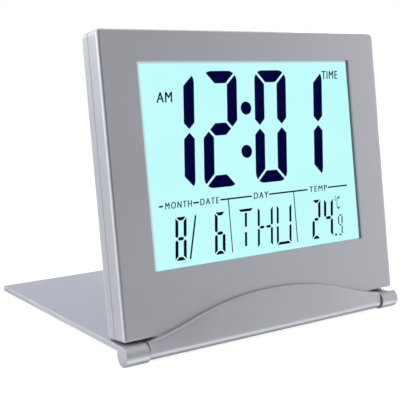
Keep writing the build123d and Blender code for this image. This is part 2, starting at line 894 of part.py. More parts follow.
# Quartz crystal: a small can lying on the board, with its two leads
can_foot = (crystal_x, button_row - crystal_below_buttons, 0)
can_plane = Plane(
    origin=level(board_back + crystal_radius).from_local_coords(can_foot),
    x_dir=(1, 0, 0), z_dir=up_face,
)
with BuildPart() as quartz_crystal:
    with BuildSketch(can_plane):
        Circle(crystal_radius)
    extrude(amount=crystal_length)
    fillet(quartz_crystal.edges(), crystal_edge)
    with BuildSketch(can_plane):
        with GridLocations(lead_pitch, 1, 2, 1):
            Circle(lead_radius)
    extrude(amount=-lead_length)
write(quartz_crystal, "quartz_crystal")

# Temperature sensor: a bead on two legs, behind the vent slots
sensor_centre = level(board_back + sensor_radius).from_local_coords((vent_x, vent_v, 0))
sensor_plane = Plane(origin=sensor_centre, x_dir=(1, 0, 0), z_dir=up_face)
with BuildPart() as temperature_sensor:
    with Locations(Plane(origin=sensor_centre, x_dir=(1, 0, 0), z_dir=outward)):
        Sphere(sensor_radius)
    with BuildSketch(sensor_plane.offset(-sensor_radius / 2)):
        with GridLocations(lead_pitch, 1, 2, 1):
            Circle(lead_radius)
    extrude(amount=-sensor_leg_reach)
write(temperature_sensor, "temperature_sensor")

# Small chip resistors and capacitors in a grid beside the cell
with BuildPart() as board_components:
    with BuildSketch(level(board_back)):
        with Locations((chip_x, chip_v)):
            with GridLocations(chip_pitch_x, chip_pitch_v, chip_columns, chip_rows):
                Rectangle(chip_length, chip_width)
    extrude(amount=-chip_height)
write(board_components, "board_components")

# Click domes on the board, one under each button
dome_sphere = (dome_radius**2 + dome_height**2) / (2 * dome_height)
with BuildPart() as button_domes:
    for name, x, v, length in buttons:
        dome_plane = Plane(
            origin=level(board_back).from_local_coords((x, v, 0)), x_dir=(1, 0, 0), z_dir=inward
        )
        with BuildPart(mode=Mode.PRIVATE) as dome:
            with Locations(dome_plane.offset(dome_height - dome_sphere)):
                Sphere(dome_sphere)
            split(bisect_by=dome_plane, keep=Keep.TOP)
        add(dome.part)
write(button_domes, "button_domes")

# Push buttons: a rounded cap through the back wall, a flange inside and a nub over the dome
flange_back = inner_back - running_fit
flange_front = flange_back - button_flange
for name, x, v, length in buttons:
    with BuildPart() as button:
        oval(length, button_width, x, v, flange_back, case_depth + button_rise - flange_back)
        fillet(button.faces().sort_by(outward_axis)[0].edges(), button_edge)
        oval(
            length + 2 * button_flange_lip, button_width + 2 * button_flange_lip, x, v,
            flange_front, button_flange,
        )
        discs([(x, v)], nub_radius, flange_front - nub_height, nub_height)
    write(button, name)

# Buzzer: brass plate on the back wall, ceramic disc on it, and two wires to the board
plate_front = inner_back - buzzer_plate_thickness
ceramic_front = plate_front - ceramic_thickness
with BuildPart() as buzzer_plate:
    discs([(buzzer_x, buzzer_v)], buzzer_radius, plate_front, buzzer_plate_thickness)
write(buzzer_plate, "buzzer_plate")

with BuildPart() as buzzer_ceramic:
    discs([(buzzer_x, buzzer_v)], ceramic_radius, ceramic_front, ceramic_thickness)
write(buzzer_ceramic, "buzzer_ceramic")

wire_level = (board_back + ceramic_front) / 2
with BuildPart() as buzzer_wires:
    for side in (-1, 1):
        wire_x = buzzer_x + side * wire_spacing / 2
        wire_points = [
            face.from_local_coords((wire_x, buzzer_v, -ceramic_front)),
            face.from_local_coords((wire_x, buzzer_v, -wire_level)),
            face.from_local_coords((wire_x, buzzer_v - wire_run, -wire_level)),
            face.from_local_coords((wire_x, buzzer_v - wire_run, -board_back)),
        ]
        with BuildLine() as wire_path:
            FilletPolyline(*wire_points, radius=wire_bend)
        with BuildSketch(Plane(origin=wire_points[0], z_dir=outward)):
            Circle(wire_radius)
        sweep(path=wire_path.line)
write(buzzer_wires, "buzzer_wires")

# Coin cell: a can with a slightly smaller cap on its inner face
with BuildPart() as coin_cell:
    discs(cell_place, cell_radius - cell_cap_inset, board_front, cell_cap)
    discs(cell_place, cell_radius, board_front + cell_cap, cell_thickness - cell_cap)
    fillet(coin_cell.faces().sort_by(outward_axis)[0].edges(), cell_edge)
write(coin_cell, "coin_cell")

# Contacts: a flat leaf in front of the cell and an angled one at its side
with BuildPart() as negative_contact:
    slab(
        contact_width, cell_v - cell_radius - contact_overreach, cell_v + contact_foot_end,
        board_front - contact_thickness, contact_thickness, x=cell_x,
    )
write(negative_contact, "negative_contact")

side_contact_end = cell_radius + running_fit
side_contact_middle = cell_x - (contact_foot_end + side_contact_end) / 2
with BuildPart() as positive_contact:
    slab(
        contact_foot_end - side_contact_end, cell_v - contact_width / 2, cell_v + contact_width / 2,
        board_back, contact_thickness, x=side_contact_middle,
    )
    slab(
        contact_thickness, cell_v - contact_width / 2, cell_v + contact_width / 2,
        board_back - contact_tip, contact_tip, x=cell_x - side_contact_end - contact_thickness / 2,
    )
write(positive_contact, "positive_contact")

# Battery door: a disc in the back wall with two bayonet legs and lugs and a coin slot
door_front = case_depth - door_thickness + running_fit
lug_back = ledge_front - running_fit
lug_front = lug_back - door_lug_height
leg_outer = door_opening - loose_fit
with BuildPart() as battery_door:
    discs(cell_place, door_radius, door_front, case_depth - door_front)
    fillet(battery_door.faces().sort_by(outward_axis)[0].edges(), door_edge)
    ring_pair(
        door_leg_inner, leg_outer, door_lug_width,
        door_lug_angle, lug_front, door_front - lug_front,
    )
    ring_pair(
        door_leg_inner, door_lug_radius, door_lug_width,
        door_lug_angle, lug_front, door_lug_height,
    )
    oval(
        coin_slot_length, coin_slot_width, cell_x, cell_v,
        case_depth - coin_slot_depth, coin_slot_depth, Mode.SUBTRACT,
    )
write(battery_door, "battery_door")


def screws(places, radius, head_radius, head_height, seat, tip):
    """Pan-head screws driven from the back, with crossed recesses in their heads."""
    discs(places, radius, tip, seat - tip)
    discs(places, head_radius, seat, head_height)
    for turn in (0, 90):
        with BuildSketch(level(seat + head_height - cross_depth)) as cross:
            with Locations(*places):
                Rectangle(cross_length, cross_width, rotation=turn)
        extrude(cross.sketch, amount=cross_depth, dir=inward, mode=Mode.SUBTRACT)


screw_tip = board_front - screw_grip + screw_tip_air
with BuildPart() as case_screws:
    screws(case_bosses, screw_radius, screw_head_radius, screw_head_height, screw_seat, screw_tip)
write(case_screws, "case_screws")

with BuildPart() as board_screws:
    screws(
        board_bosses, board_screw_radius, board_head_radius, board_head_height, board_back, screw_tip,
    )
write(board_screws, "board_screws")
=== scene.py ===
"""Folding alarm clock with a lit liquid-crystal display, standing on its own cover.

Everything is in metres. On the case, x is measured from its middle, v up the
face from the bottom edge, and depth backwards from the face.
"""

import json
from math import atan2, cos, radians, sin

import bpy
import numpy as np
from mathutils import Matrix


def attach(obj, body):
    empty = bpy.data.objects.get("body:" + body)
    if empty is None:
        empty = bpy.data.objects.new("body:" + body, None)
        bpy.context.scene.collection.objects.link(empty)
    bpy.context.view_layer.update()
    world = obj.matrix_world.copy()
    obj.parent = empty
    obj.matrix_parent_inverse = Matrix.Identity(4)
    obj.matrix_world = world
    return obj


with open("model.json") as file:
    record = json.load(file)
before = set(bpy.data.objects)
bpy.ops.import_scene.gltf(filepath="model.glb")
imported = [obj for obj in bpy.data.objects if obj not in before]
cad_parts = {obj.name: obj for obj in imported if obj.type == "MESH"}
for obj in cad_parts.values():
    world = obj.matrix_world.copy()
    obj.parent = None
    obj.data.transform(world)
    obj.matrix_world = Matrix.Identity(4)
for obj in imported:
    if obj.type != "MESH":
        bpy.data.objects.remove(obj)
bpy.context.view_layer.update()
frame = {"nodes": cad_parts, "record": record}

MM = 0.001

# The hinge axis and the way the case leans come from the record's joints
joint_records = {joint["name"]: joint for joint in frame["record"]["behaviour"]["joints"]}
hinge_point = np.array(joint_records["lid_hinge"]["pos_m"])
inward = np.array(joint_records["battery_door_turn"]["axis"])
up_face = np.array((0.0, -inward[2], inward[1]))
lean = atan2(up_face[1], up_face[2])

CASE_HALF = (56.4 * MM, 5.1 * MM, 46.925 * MM)
HINGE_BELOW_CASE = 4.2 * MM
HINGE_BEHIND_FACE = 0.95 * MM
face_point = hinge_point + up_face * HINGE_BELOW_CASE - inward * HINGE_BEHIND_FACE
case_middle = face_point + up_face * CASE_HALF[2] + inward * CASE_HALF[1]

WINDOW_HALF = 43.4 * MM
WINDOW_MIDDLE = 51.825 * MM
WINDOW_RISE = 32.2 * MM
SEAM_DEPTH = 5.9 * MM

LID_HALF = (57.1 * MM, 49.6 * MM, 0.95 * MM)
LID_OVER_HINGE = 2.2 * MM
lid_tilt = radians(2.5477)
along_lid = np.array((0.0, cos(lid_tilt), -sin(lid_tilt)))
lid_outward = np.array((0.0, sin(lid_tilt), cos(lid_tilt)))
lid_middle = hinge_point + along_lid * LID_HALF[1] + lid_outward * LID_OVER_HINGE


def on_case(x, v, depth):
    """Points in the frame for arrays of x, v and depth in millimetres on the case."""
    x, v, depth = np.broadcast_arrays(*(np.asarray(value, float) * MM for value in (x, v, depth)))
    return (
        face_point
        + x[..., None] * np.array((1.0, 0.0, 0.0))
        + v[..., None] * up_face
        + depth[..., None] * inward
    )


# Helpers for shader nodes


def add_node(tree, kind, **settings):
    """One shader node with its plain settings."""
    made = tree.nodes.new(kind)
    for name, value in settings.items():
        setattr(made, name, value)
    return made


def feed(tree, source, target):
    """Link a socket, or write a constant on the target socket."""
    if isinstance(source, bpy.types.NodeSocket):
        tree.links.new(source, target)
    else:
        target.default_value = source


def maths(tree, operation, first, second=0.0):
    """Math node on two values."""
    made = add_node(tree, "ShaderNodeMath", operation=operation)
    feed(tree, first, made.inputs[0])
    feed(tree, second, made.inputs[1])
    return made.outputs[0]


def times(tree, *values):
    """Product of two or more values."""
    product = values[0]
    for value in values[1:]:
        product = maths(tree, "MULTIPLY", product, value)
    return product


def vector_maths(tree, operation, first, second=(0.0, 0.0, 0.0)):
    """Vector Math node on two vectors."""
    made = add_node(tree, "ShaderNodeVectorMath", operation=operation)
    feed(tree, first, made.inputs[0])
    feed(tree, second, made.inputs[1])
    return made.outputs[0]


def pointing(tree, vector, direction):
    """How far a unit vector points in a direction: one along it, minus one against it."""
    made = add_node(tree, "ShaderNodeVectorMath", operation="DOT_PRODUCT")
    feed(tree, vector, made.inputs[0])
    feed(tree, direction, made.inputs[1])
    return made.outputs["Value"]


def turned_about_x(tree, vector, angle):
    """A vector turned about the x axis."""
    made = add_node(tree, "ShaderNodeVectorRotate", rotation_type="X_AXIS")
    feed(tree, vector, made.inputs["Vector"])
    feed(tree, angle, made.inputs["Angle"])
    return made.outputs[0]


def split(tree, vector):
    """The x, y and z of a vector."""
    made = add_node(tree, "ShaderNodeSeparateXYZ")
    feed(tree, vector, made.inputs[0])
    return made.outputs[0], made.outputs[1], made.outputs[2]


def mix_colours(tree, factor, first, second):
    """Blend of two colours by a factor."""
    made = add_node(tree, "ShaderNodeMix", data_type="RGBA")
    feed(tree, factor, made.inputs[0])
    feed(tree, first, made.inputs[6])
    feed(tree, second, made.inputs[7])
    return made.outputs[2]


def remap(tree, value, from_low, from_high, to_low=0.0, to_high=1.0, smooth=False):
    """Map Range node, clamped."""
    made = add_node(tree, "ShaderNodeMapRange")
    if smooth:
        made.interpolation_type = "SMOOTHSTEP"
    for place, amount in enumerate((value, from_low, from_high, to_low, to_high)):
        feed(tree, amount, made.inputs[place])
    return made.outputs[0]


def band(tree, value, middle, flat, soft):
    """One within a flat distance of a middle value, falling to zero over a soft distance."""
    away = maths(tree, "ABSOLUTE", maths(tree, "SUBTRACT", value, middle))
    return remap(tree, away, flat, flat + soft, 1.0, 0.0)


def noise(tree, vector, scale, detail=2.0, roughness=0.5):
    """Noise value at a scale per metre."""
    made = add_node(tree, "ShaderNodeTexNoise")
    feed(tree, vector, made.inputs["Vector"])
    feed(tree, scale, made.inputs["Scale"])
    made.inputs["Detail"].default_value = detail
    made.inputs["Roughness"].default_value = roughness
    return made.outputs[0]


def wave(tree, vector, scale, distortion=0.0, **kind):
    """Wave value, in bands or rings."""
    made = add_node(tree, "ShaderNodeTexWave", **kind)
    feed(tree, vector, made.inputs["Vector"])
    made.inputs["Scale"].default_value = scale
    made.inputs["Distortion"].default_value = distortion
    return made.outputs["Fac"]


def bump(tree, height, distance, strength=1.0):
    """Bump node for a height, in metres."""
    made = add_node(tree, "ShaderNodeBump")
    feed(tree, strength, made.inputs["Strength"])
    made.inputs["Distance"].default_value = distance
    feed(tree, height, made.inputs["Height"])
    return made


# Effects that several materials share

VALUE, COLOUR, VECTOR = "NodeSocketFloat", "NodeSocketColor", "NodeSocketVector"
FINE_SHARE = 0.6


def new_group(name, inputs, outputs):
    """Empty shader node group with its inputs and outputs, and their end nodes."""
    tree = bpy.data.node_groups.new(name, "ShaderNodeTree")
    for label, kind, value in inputs:
        socket = tree.interface.new_socket(label, in_out="INPUT", socket_type=kind)
        if value is not None:
            socket.default_value = value
    for label, kind in outputs:
        tree.interface.new_socket(label, in_out="OUTPUT", socket_type=kind)
    return tree, tree.nodes.new("NodeGroupInput").outputs, tree.nodes.new("NodeGroupOutput").inputs


def make_surface_grain():
    """Fine grain and slow clouds that vary a colour, its roughness and its height."""
    tree, given, result = new_group(
        "surface_grain",
        [
            ("Vector", VECTOR, None), ("Fine Scale", VALUE, 3000.0), ("Cloud Scale", VALUE, 60.0),
            ("Dark", COLOUR, None), ("Light", COLOUR, None),
            ("Smooth", VALUE, 0.3), ("Rough", VALUE, 0.4),
        ],
        [("Color", COLOUR), ("Roughness", VALUE), ("Height", VALUE)],
    )
    fine = noise(tree, given["Vector"], given["Fine Scale"], 2.0, 0.6)
    cloud = noise(tree, given["Vector"], given["Cloud Scale"], 3.0, 0.5)
    blend = maths(tree, "ADD", times(tree, fine, FINE_SHARE), times(tree, cloud, 1.0 - FINE_SHARE))
    spread = remap(tree, blend, 0.3, 0.7)
    feed(tree, mix_colours(tree, spread, given["Dark"], given["Light"]), result["Color"])
    roughness = remap(tree, cloud, 0.35, 0.65, given["Smooth"], given["Rough"])
    feed(tree, roughness, result["Roughness"])
    feed(tree, fine, result["Height"])
    return tree


def make_edge_wear_and_highlight():
    """Mask that grows towards the edges of a leaning box: by the second smallest of the three
    distances to its sides, the sum of all less the least and the most."""
    tree, given, result = new_group(
        "edge_wear_and_highlight",
        [
            ("Vector", VECTOR, None), ("Middle", VECTOR, None), ("Half", VECTOR, None),
            ("Lean", VALUE, 0.0), ("Width", VALUE, 0.001), ("Break Scale", VALUE, 400.0),
        ],
        [("Mask", VALUE)],
    )
    from_middle = vector_maths(tree, "SUBTRACT", given["Vector"], given["Middle"])
    size = vector_maths(tree, "ABSOLUTE", turned_about_x(tree, from_middle, given["Lean"]))
    x, y, z = split(tree, vector_maths(tree, "SUBTRACT", given["Half"], size))
    total = maths(tree, "ADD", maths(tree, "ADD", x, y), z)
    least = maths(tree, "MINIMUM", maths(tree, "MINIMUM", x, y), z)
    most = maths(tree, "MAXIMUM", maths(tree, "MAXIMUM", x, y), z)
    second = maths(tree, "SUBTRACT", maths(tree, "SUBTRACT", total, least), most)
    near_edge = remap(tree, second, 0.1 * MM, given["Width"], 1.0, 0.0, smooth=True)
    on_box = remap(tree, least, -0.5 * MM, -0.2 * MM)
    broken = noise(tree, given["Vector"], given["Break Scale"], 3.0, 0.6)
    patches = remap(tree, broken, 0.35, 0.6, 0.7, 1.0)
    feed(tree, times(tree, near_edge, on_box, patches), result["Mask"])
    return tree


def make_settled_dust():
    """Mask of thin dust: more where the surface looks up, broken by noise."""
    tree, given, result = new_group(
        "settled_dust", [("Vector", VECTOR, None), ("Amount", VALUE, 0.1)], [("Mask", VALUE)],
    )
    normal = add_node(tree, "ShaderNodeNewGeometry").outputs["Normal"]
    level = remap(tree, split(tree, normal)[2], 0.5, 1.0, 0.15, 1.0)
    specks = remap(tree, noise(tree, given["Vector"], 2200.0, 2.0, 0.7), 0.5, 0.75, 0.1, 1.0)
    feed(tree, times(tree, level, specks, given["Amount"]), result["Mask"])
    return tree


SURFACE_GRAIN = make_surface_grain()
EDGE_WEAR_AND_HIGHLIGHT = make_edge_wear_and_highlight()
SETTLED_DUST = make_settled_dust()


def place_group(tree, group, vector, **values):
    """A node group in a material, fed with the surface's own coordinates."""
    made = add_node(tree, "ShaderNodeGroup", node_tree=group)
    feed(tree, vector, made.inputs["Vector"])
    for label, value in values.items():
        feed(tree, value, made.inputs[label.replace("_", " ")])
    return made.outputs


def place_grain(tree, place, dark, light, smooth, rough, fine, cloud):
    """The grain group with its two colours, its two roughnesses and its two scales."""
    return place_group(
        tree, SURFACE_GRAIN, place, Fine_Scale=fine, Cloud_Scale=cloud,
        Dark=(*dark, 1.0), Light=(*light, 1.0), Smooth=smooth, Rough=rough,
    )


def case_coordinates(tree, place):
    """Values of x, depth and v on the case, from the object's coordinates."""
    from_face = vector_maths(tree, "SUBTRACT", place, tuple(face_point))
    return split(tree, turned_about_x(tree, from_face, lean))


# Kinds of finish

SILVER_DARK, SILVER_LIGHT = (0.388, 0.395, 0.423), (0.418, 0.425, 0.453)
SILVER_WEAR_AND_PAINTED_LIGHT = (0.97, 0.97, 0.99, 1.0)
NEAR_BLACK_AND_SHADE = (0.03, 0.034, 0.04, 1.0)
PAINTED_DARK_REFLECTION = (0.05, 0.052, 0.058, 1.0)
DUST_ON_SILVER = (0.6, 0.59, 0.57, 1.0)
DUST_ON_THE_REST = (0.55, 0.54, 0.52, 1.0)
PAINT_RELIEF = 3e-6
EDGE_FALL = 0.27 * MM
ARCH_FALL = 1.9 * MM


def new_material(name):
    """Material with an empty tree, its Principled shader and the object's coordinates."""
    material = bpy.data.materials.new(name)
    material.use_nodes = True
    tree = material.node_tree
    tree.nodes.clear()
    shader = add_node(tree, "ShaderNodeBsdfPrincipled")
    output = add_node(tree, "ShaderNodeOutputMaterial")
    tree.links.new(shader.outputs[0], output.inputs[0])
    coordinates = add_node(tree, "ShaderNodeTexCoord").outputs["Object"]
    return material, tree, shader, coordinates


def dress(tree, shader, colour=None, roughness=None, relief=None, **constants):
    """Feed the shader's colour, roughness and bump, and set its plain values."""
    if colour is not None:
        feed(tree, colour, shader.inputs["Base Color"])
    if roughness is not None:
        feed(tree, roughness, shader.inputs["Roughness"])
    if relief is not None:
        feed(tree, relief.outputs[0], shader.inputs["Normal"])
    for label, value in constants.items():
        shader.inputs[label.replace("_", " ")].default_value = value


def grained(name, dark, light, smooth, rough, fine=3000.0, cloud=60.0, relief=4e-6, **constants):
    """Moulded, cast or ground finish: grain, clouds, a fine relief and a little dust."""
    material, tree, shader, place = new_material(name)
    grain = place_grain(tree, place, dark, light, smooth, rough, fine, cloud)
    dusty = place_group(tree, SETTLED_DUST, place, Amount=0.05)["Mask"]
    colour = mix_colours(tree, dusty, grain["Color"], DUST_ON_THE_REST)
    raised = bump(tree, grain["Height"], relief)
    dress(tree, shader, colour, grain["Roughness"], raised, **constants)
    return material


def dark_walls_seam_and_shaded_underside(tree, x, depth, v):
    """Mask on the case: the window's two side walls, the parting line's groove, and painted shade
    on the underside by the hinge, less towards the left end.
    """
    at_wall = band(tree, maths(tree, "ABSOLUTE", x), WINDOW_HALF, 0.06 * MM, 0.06 * MM)
    in_wall = band(tree, depth, 0.95 * MM, 0.6 * MM, 0.15 * MM)
    beside_window = band(tree, v, WINDOW_MIDDLE, WINDOW_RISE, 0.1 * MM)
    groove = band(tree, depth, SEAM_DEPTH, 0.12 * MM, 0.25 * MM)
    at_bottom = remap(tree, v, 0.05 * MM, 0.3 * MM, 1.0, 0.0)
    behind_face = remap(tree, depth, 0.5 * MM, 0.7 * MM)
    off_left_end = remap(tree, x, -56.0 * MM, -46.0 * MM)
    wall = times(tree, at_wall, in_wall, beside_window, 0.75)
    # Painted shade in the crevice between the case's underside and the hinge, fading out towards
    # the case's left end
    shaded_underside = times(tree, at_bottom, behind_face, off_left_end, 0.6)
    upright = maths(tree, "MAXIMUM", wall, times(tree, groove, 0.45))
    return maths(tree, "MAXIMUM", upright, shaded_underside)


def case_front_paint(tree, x, depth, v, colour):
    """The case's paint: a painted highlight on the arch's rim, dark on the window's side walls and
    in the parting line's groove, painted shade on the underside by the hinge, and a painted dark
    reflection as a thin darker line beside the face's left edge."""
    # Painted highlight on the arch's rim
    at_rim = band(tree, depth, -1.2 * MM, 0.2 * MM, 0.15 * MM)
    rim_highlight = times(tree, at_rim, remap(tree, v, -1.2 * MM, -0.8 * MM, 0.0, 0.2))
    colour = mix_colours(tree, rim_highlight, colour, SILVER_WEAR_AND_PAINTED_LIGHT)
    colour = mix_colours(tree, dark_walls_seam_and_shaded_underside(tree, x, depth, v), colour, NEAR_BLACK_AND_SHADE)
    # Painted dark reflection: a thin darker line beside the face's left edge, fading out at the
    # bottom
    beside_edge = band(tree, x, 0.8 * MM - CASE_HALF[0], 0.12 * MM, 0.3 * MM)
    at_face = band(tree, depth, 0.0, 0.2 * MM, 0.2 * MM)
    above_bottom = remap(tree, v, 0.0, 1.0 * MM, 0.0, 0.38)
    return mix_colours(tree, times(tree, beside_edge, at_face, above_bottom), colour, PAINTED_DARK_REFLECTION)


def barrel_paint_with_painted_light(tree, place, colour):
    """The lid's paint, with painted light on top of the left barrel but not on the barrel's end."""
    x, y, z = split(tree, place)
    on_left_barrel = remap(tree, x, -49.5 * MM, -49.2 * MM, 1.0, 0.0)
    off_its_end = remap(tree, x, -57.0 * MM, -56.8 * MM)
    before_case = remap(tree, y, -47.0 * MM, -46.0 * MM, 1.0, 0.0)
    near_top = remap(tree, z, 4.8 * MM, 6.0 * MM, 0.0, 0.3)
    # Painted light on top of the left barrel, under the case's front edge
    painted_light = times(tree, on_left_barrel, before_case, near_top, off_its_end)
    return mix_colours(tree, painted_light, colour, SILVER_WEAR_AND_PAINTED_LIGHT)


def edge_fall(tree, x):
    """Height, in units of the paint's relief, that falls with the square of the way from
    1.15 mm inside the case's sides to 0.2 mm inside them."""
    start = CASE_HALF[0] - 1.15 * MM
    way = remap(tree, maths(tree, "ABSOLUTE", x), start, start + 0.95 * MM)
    return times(tree, way, way, -EDGE_FALL / PAINT_RELIEF)


def arch_roll(tree, x, depth):
    """Bump for the arch's front, which falls back a little towards its two ends, with the
    square of the way."""
    way = remap(tree, maths(tree, "ABSOLUTE", x), 22.0 * MM, 47.0 * MM)
    on_front = remap(tree, depth, -1.3 * MM, -1.1 * MM, 1.0, 0.0)
    return bump(tree, times(tree, way, way, -ARCH_FALL), 1.0, on_front)


def silver_paint(
    name, middle, half, lean_angle, dark=SILVER_DARK, light=SILVER_LIGHT, wear_and_highlight_share=0.95,
    on_case_front=False, on_barrel=False,
):
    """Satin silver paint on moulded plastic: metal flakes, orange peel, and edges brighter, partly
    as wear and partly as a painted highlight.
    """
    material, tree, shader, place = new_material(name)
    grain = place_grain(tree, place, dark, light, 0.34, 0.40, 5200.0, 45.0)
    wear_and_highlight = place_group(
        tree, EDGE_WEAR_AND_HIGHLIGHT, place, Middle=tuple(middle), Half=tuple(half), Lean=lean_angle,
        Width=0.6 * MM, Break_Scale=500.0,
    )
    # The edge mask is partly wear and partly a painted highlight, near white on the case and the
    # battery door
    worn_and_highlit = times(tree, wear_and_highlight["Mask"], wear_and_highlight_share)
    colour = mix_colours(tree, worn_and_highlit, grain["Color"], SILVER_WEAR_AND_PAINTED_LIGHT)
    roughness = maths(tree, "SUBTRACT", grain["Roughness"], times(tree, worn_and_highlit, 0.2))
    peel = noise(tree, place, 900.0, 2.0, 0.4)
    height = maths(tree, "ADD", times(tree, grain["Height"], 0.35), peel)
    if on_case_front:
        x, depth, v = case_coordinates(tree, place)
        colour = case_front_paint(tree, x, depth, v, colour)
        height = maths(tree, "ADD", height, edge_fall(tree, x))
    if on_barrel:
        colour = barrel_paint_with_painted_light(tree, place, colour)
    dusty = place_group(tree, SETTLED_DUST, place, Amount=0.04)["Mask"]
    colour = mix_colours(tree, dusty, colour, DUST_ON_SILVER)
    relief = bump(tree, height, PAINT_RELIEF)
    if on_case_front:
        feed(tree, arch_roll(tree, x, depth).outputs[0], relief.inputs["Normal"])
    dress(
        tree, shader, colour, roughness, relief, Metallic=0.35, Coat_Weight=0.08,
        Coat_Roughness=0.25,
    )
    return material


def clear_sheet(name, colour, facing_alpha, edge_alpha, roughness):
    """Clear sheet: see-through when looked at straight, more reflective at a glancing angle."""
    material, tree, shader, place = new_material(name)
    glancing = add_node(tree, "ShaderNodeLayerWeight")
    glancing.inputs["Blend"].default_value = 0.35
    alpha = remap(tree, glancing.outputs["Facing"], 0.35, 1.0, facing_alpha, edge_alpha)
    feed(tree, alpha, shader.inputs["Alpha"])
    smears = noise(tree, place, 120.0, 3.0, 0.5)
    tinted = mix_colours(tree, smears, (*colour, 1.0), (*[part * 0.97 for part in colour], 1.0))
    dress(tree, shader, tinted, remap(tree, smears, 0.3, 0.7, roughness, roughness * 1.6))
    return material


def lit_display():
    """The lit back of the display: pale cyan, whiter to the top and left, and greyer at its top and
    left borders as painted shade beside the window's edge.
    """
    material, tree, shader, place = new_material("lit_display")
    x, _, v = case_coordinates(tree, place)
    cloud = remap(tree, noise(tree, place, 35.0), 0.3, 0.7)
    glow = mix_colours(tree, cloud, (0.525, 0.97, 0.975, 1.0), (0.555, 0.985, 0.99, 1.0))
    near_top = remap(tree, v, 82.55 * MM, 83.75 * MM, smooth=True)
    near_left = remap(tree, x, -41.1 * MM, -40.7 * MM, 1.0, 0.0, smooth=True)
    whiter = times(tree, maths(tree, "MAXIMUM", near_top, near_left), 0.6)
    glow = mix_colours(tree, whiter, glow, (0.66, 0.93, 0.95, 1.0))
    # Painted shade: greyer at the display's top and left borders, beside the window's edge
    top_border = remap(tree, v, 83.65 * MM, 83.9 * MM)
    left_border = remap(tree, x, -41.15 * MM, -40.85 * MM, 0.9, 0.0)
    border = maths(tree, "MAXIMUM", top_border, left_border)
    glow = mix_colours(tree, border, glow, (0.50, 0.67, 0.70, 1.0))
    feed(tree, glow, shader.inputs["Emission Color"])
    dress(
        tree, shader, Base_Color=(0.02, 0.03, 0.03, 1.0), Roughness=0.5, Specular_IOR_Level=0.0,
        Emission_Strength=1.06,
    )
    return material


def driven_crystal(name, dark, light, leak=(0.0, 0.0, 0.0)):
    """Driven strokes of the display: a dark stain that lets a trace of the backlight through."""
    material, tree, shader, place = new_material(name)
    grain = place_grain(tree, place, dark, light, 0.5, 0.6, 2600.0, 180.0)
    dress(
        tree, shader, grain["Color"], grain["Roughness"], Specular_IOR_Level=0.05,
        Emission_Color=(*leak, 1.0), Emission_Strength=1.0,
    )
    return material


def circuit_board_lacquer():
    """Green solder mask over copper runs: stepped waves along x and z make the runs."""
    material, tree, shader, place = new_material("circuit_board_lacquer")
    across, upright = (
        remap(tree, wave(tree, place, scale, wave_type="BANDS", bands_direction=way), 0.78, 0.86)
        for way, scale in (("X", 260.0), ("Z", 210.0))
    )
    zones = noise(tree, place, 70.0, 1.0, 0.4)
    blend = add_node(tree, "ShaderNodeMix", data_type="FLOAT")
    feed(tree, remap(tree, zones, 0.5, 0.505), blend.inputs[0])
    feed(tree, across, blend.inputs[2])
    feed(tree, upright, blend.inputs[3])
    copper = blend.outputs[0]
    colour = mix_colours(tree, copper, (0.006, 0.075, 0.03, 1.0), (0.03, 0.17, 0.06, 1.0))
    roughness = remap(tree, noise(tree, place, 900.0), 0.3, 0.7, 0.28, 0.4)
    relief = bump(tree, copper, 2.5e-5)
    dress(tree, shader, colour, roughness, relief, Coat_Weight=0.3, Coat_Roughness=0.15)
    return material


def ringed_metal(name, dark, light, centre, metallic=1.0, rings=2600.0):
    """Turned or pressed metal: fine rings round a centre on the case."""
    material, tree, shader, place = new_material(name)
    from_centre = vector_maths(tree, "SUBTRACT", place, tuple(on_case(*centre)))
    level = turned_about_x(tree, from_centre, lean)
    turned = wave(tree, level, rings, 1.5, wave_type="RINGS", rings_direction="Y")
    stain = noise(tree, place, 160.0, 4.0, 0.6)
    colour = mix_colours(tree, remap(tree, stain, 0.35, 0.65), (*dark, 1.0), (*light, 1.0))
    roughness = remap(tree, stain, 0.3, 0.7, 0.24, 0.38)
    dress(tree, shader, colour, roughness, bump(tree, turned, 1.5e-6), Metallic=metallic)
    return material


def striped_rubber():
    """Zebra connector: black carbon and pink insulating layers along x."""
    material, tree, shader, place = new_material("zebra_rubber")
    bars = wave(tree, place, 1400.0, wave_type="BANDS", bands_direction="X")
    bars = remap(tree, bars, 0.45, 0.55)
    colour = mix_colours(tree, bars, (0.012, 0.012, 0.013, 1.0), (0.42, 0.17, 0.18, 1.0))
    roughness = remap(tree, noise(tree, place, 1500.0), 0.3, 0.7, 0.5, 0.7)
    dress(tree, shader, colour, roughness, bump(tree, bars, 4e-6))
    return material


# The finish of each piece. The case's edge mask, partly wear and partly a painted highlight, is
# laid as if the case were a little wider and less deep, so that the bright line lies on the corner
# itself

wear_and_highlight_half = (CASE_HALF[0] + 0.25 * MM, CASE_HALF[1] - 0.25 * MM, CASE_HALF[2])
case_paint = silver_paint(
    "silver_paint_case", case_middle, wear_and_highlight_half, lean, on_case_front=True,
)
lid_paint = silver_paint(
    "silver_paint_lid", lid_middle, LID_HALF, -lid_tilt,
    (0.394, 0.402, 0.434), (0.423, 0.431, 0.463), wear_and_highlight_share=0.12, on_barrel=True,
)
button_finish = grained(
    "silver_buttons", (0.30, 0.303, 0.315), (0.35, 0.353, 0.365), 0.32, 0.42,
    fine=4200.0, relief=3e-6, Metallic=0.3,
)
pin_finish = grained(
    "ground_steel", (0.42, 0.42, 0.43), (0.58, 0.58, 0.59), 0.2, 0.32, cloud=300.0, Metallic=1.0,
)
contact_finish = grained(
    "contact_spring", (0.55, 0.53, 0.48), (0.7, 0.67, 0.6), 0.18, 0.32, cloud=350.0, Metallic=1.0,
)
screw_finish = grained(
    "zinc_plate", (0.48, 0.49, 0.5), (0.64, 0.65, 0.66), 0.22, 0.36, cloud=700.0, fine=5000.0,
    Metallic=1.0,
)

